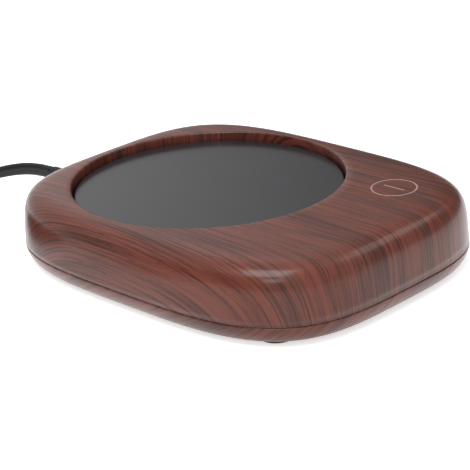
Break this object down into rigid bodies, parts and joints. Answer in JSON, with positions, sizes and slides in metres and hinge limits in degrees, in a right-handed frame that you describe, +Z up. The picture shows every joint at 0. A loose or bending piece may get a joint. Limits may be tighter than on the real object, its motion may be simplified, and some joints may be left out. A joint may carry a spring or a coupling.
{
  "type": "electric mug warmer",
  "caption": "Low rounded-square mug warmer with a wood-look case, a floating round heating plate in a shallow recess, a touch mark and a flex with a flat-blade plug.",
  "frame": {"origin": "centre of the footprint of the case's box, on the surface that the feet stand on", "axes": "+Z up, -Y towards the user, +Y towards the back wall that the cord leaves, +X to the user's right"},
  "size_m": [0.1805, 0.1994, 0.0253],
  "materials": {
    "case": "satin wood-print film",
    "coated_plate": "matte dark coating",
    "mica": "pressed mica",
    "resistance_alloy": "rolled strip",
    "zinc_steel": "zinc plated",
    "ceramic_felt": "felted fibre",
    "thermostat_case": "phenolic",
    "fuse_case": "drawn",
    "heatproof_plastic": "moulded",
    "screw_steel": "zinc plated",
    "spring_steel": "drawn wire",
    "switch_plastic": "moulded",
    "plunger_plastic": "moulded",
    "brass": "nickel plated",
    "circuit_board": "solder mask",
    "relay_case": "moulded",
    "capacitor_case": "moulded",
    "conductive_foam": "foam",
    "clear_plastic": "clear moulded",
    "lamp": "moulded",
    "foot_rubber": "moulded",
    "cord_vinyl": "soft vinyl",
    "lead_vinyl": "soft vinyl"
  },
  "bodies": {
    "housing": {"top_cover": "case", "base_shell": "case", "plate_springs": "spring_steel", "microswitch_body": "switch_plastic", "switch_terminals": "brass", "switch_screws": "screw_steel", "control_board": "circuit_board", "power_relay": "relay_case", "film_capacitor": "capacitor_case", "touch_sensor": "conductive_foam", "light_guide": "clear_plastic", "indicator_leds": "lamp", "board_screws": "screw_steel", "case_screws": "screw_steel", "rubber_feet": "foot_rubber", "strain_relief": "cord_vinyl", "cord_clamp": "heatproof_plastic", "clamp_screws": "screw_steel", "inner_cord": "cord_vinyl", "supply_leads": "lead_vinyl", "cord": "cord_vinyl", "cord_coil": "cord_vinyl", "cord_tail": "cord_vinyl", "plug_body": "cord_vinyl", "plug_blades": "brass"},
    "plate_group": {"heating_plate": "coated_plate", "upper_mica_sheet": "mica", "heating_element": "resistance_alloy", "lower_mica_sheet": "mica", "clamp_plate": "zinc_steel", "insulation_pad": "ceramic_felt", "thermostat": "thermostat_case", "thermal_fuse": "fuse_case", "plate_carrier": "heatproof_plastic", "plate_screws": "screw_steel"},
    "switch_button": {"switch_plunger": "plunger_plastic"}
  },
  "joints": [
    {"name": "plate_press", "type": "slide", "parent": "housing", "child": "plate_group", "axis": [0, 0, -1], "range_m": [0, 0.0008], "stiffness_N_per_m": 1500, "springref_m": -0.0015, "deforming": ["plate_springs"]},
    {"name": "switch_press", "type": "slide", "parent": "housing", "child": "switch_button", "axis": [0, 0, -1], "range_m": [0, 0.0008]}
  ],
  "couplings": [
    {"joint": "switch_press", "follows": "plate_press", "ratio": 1}
  ]
}
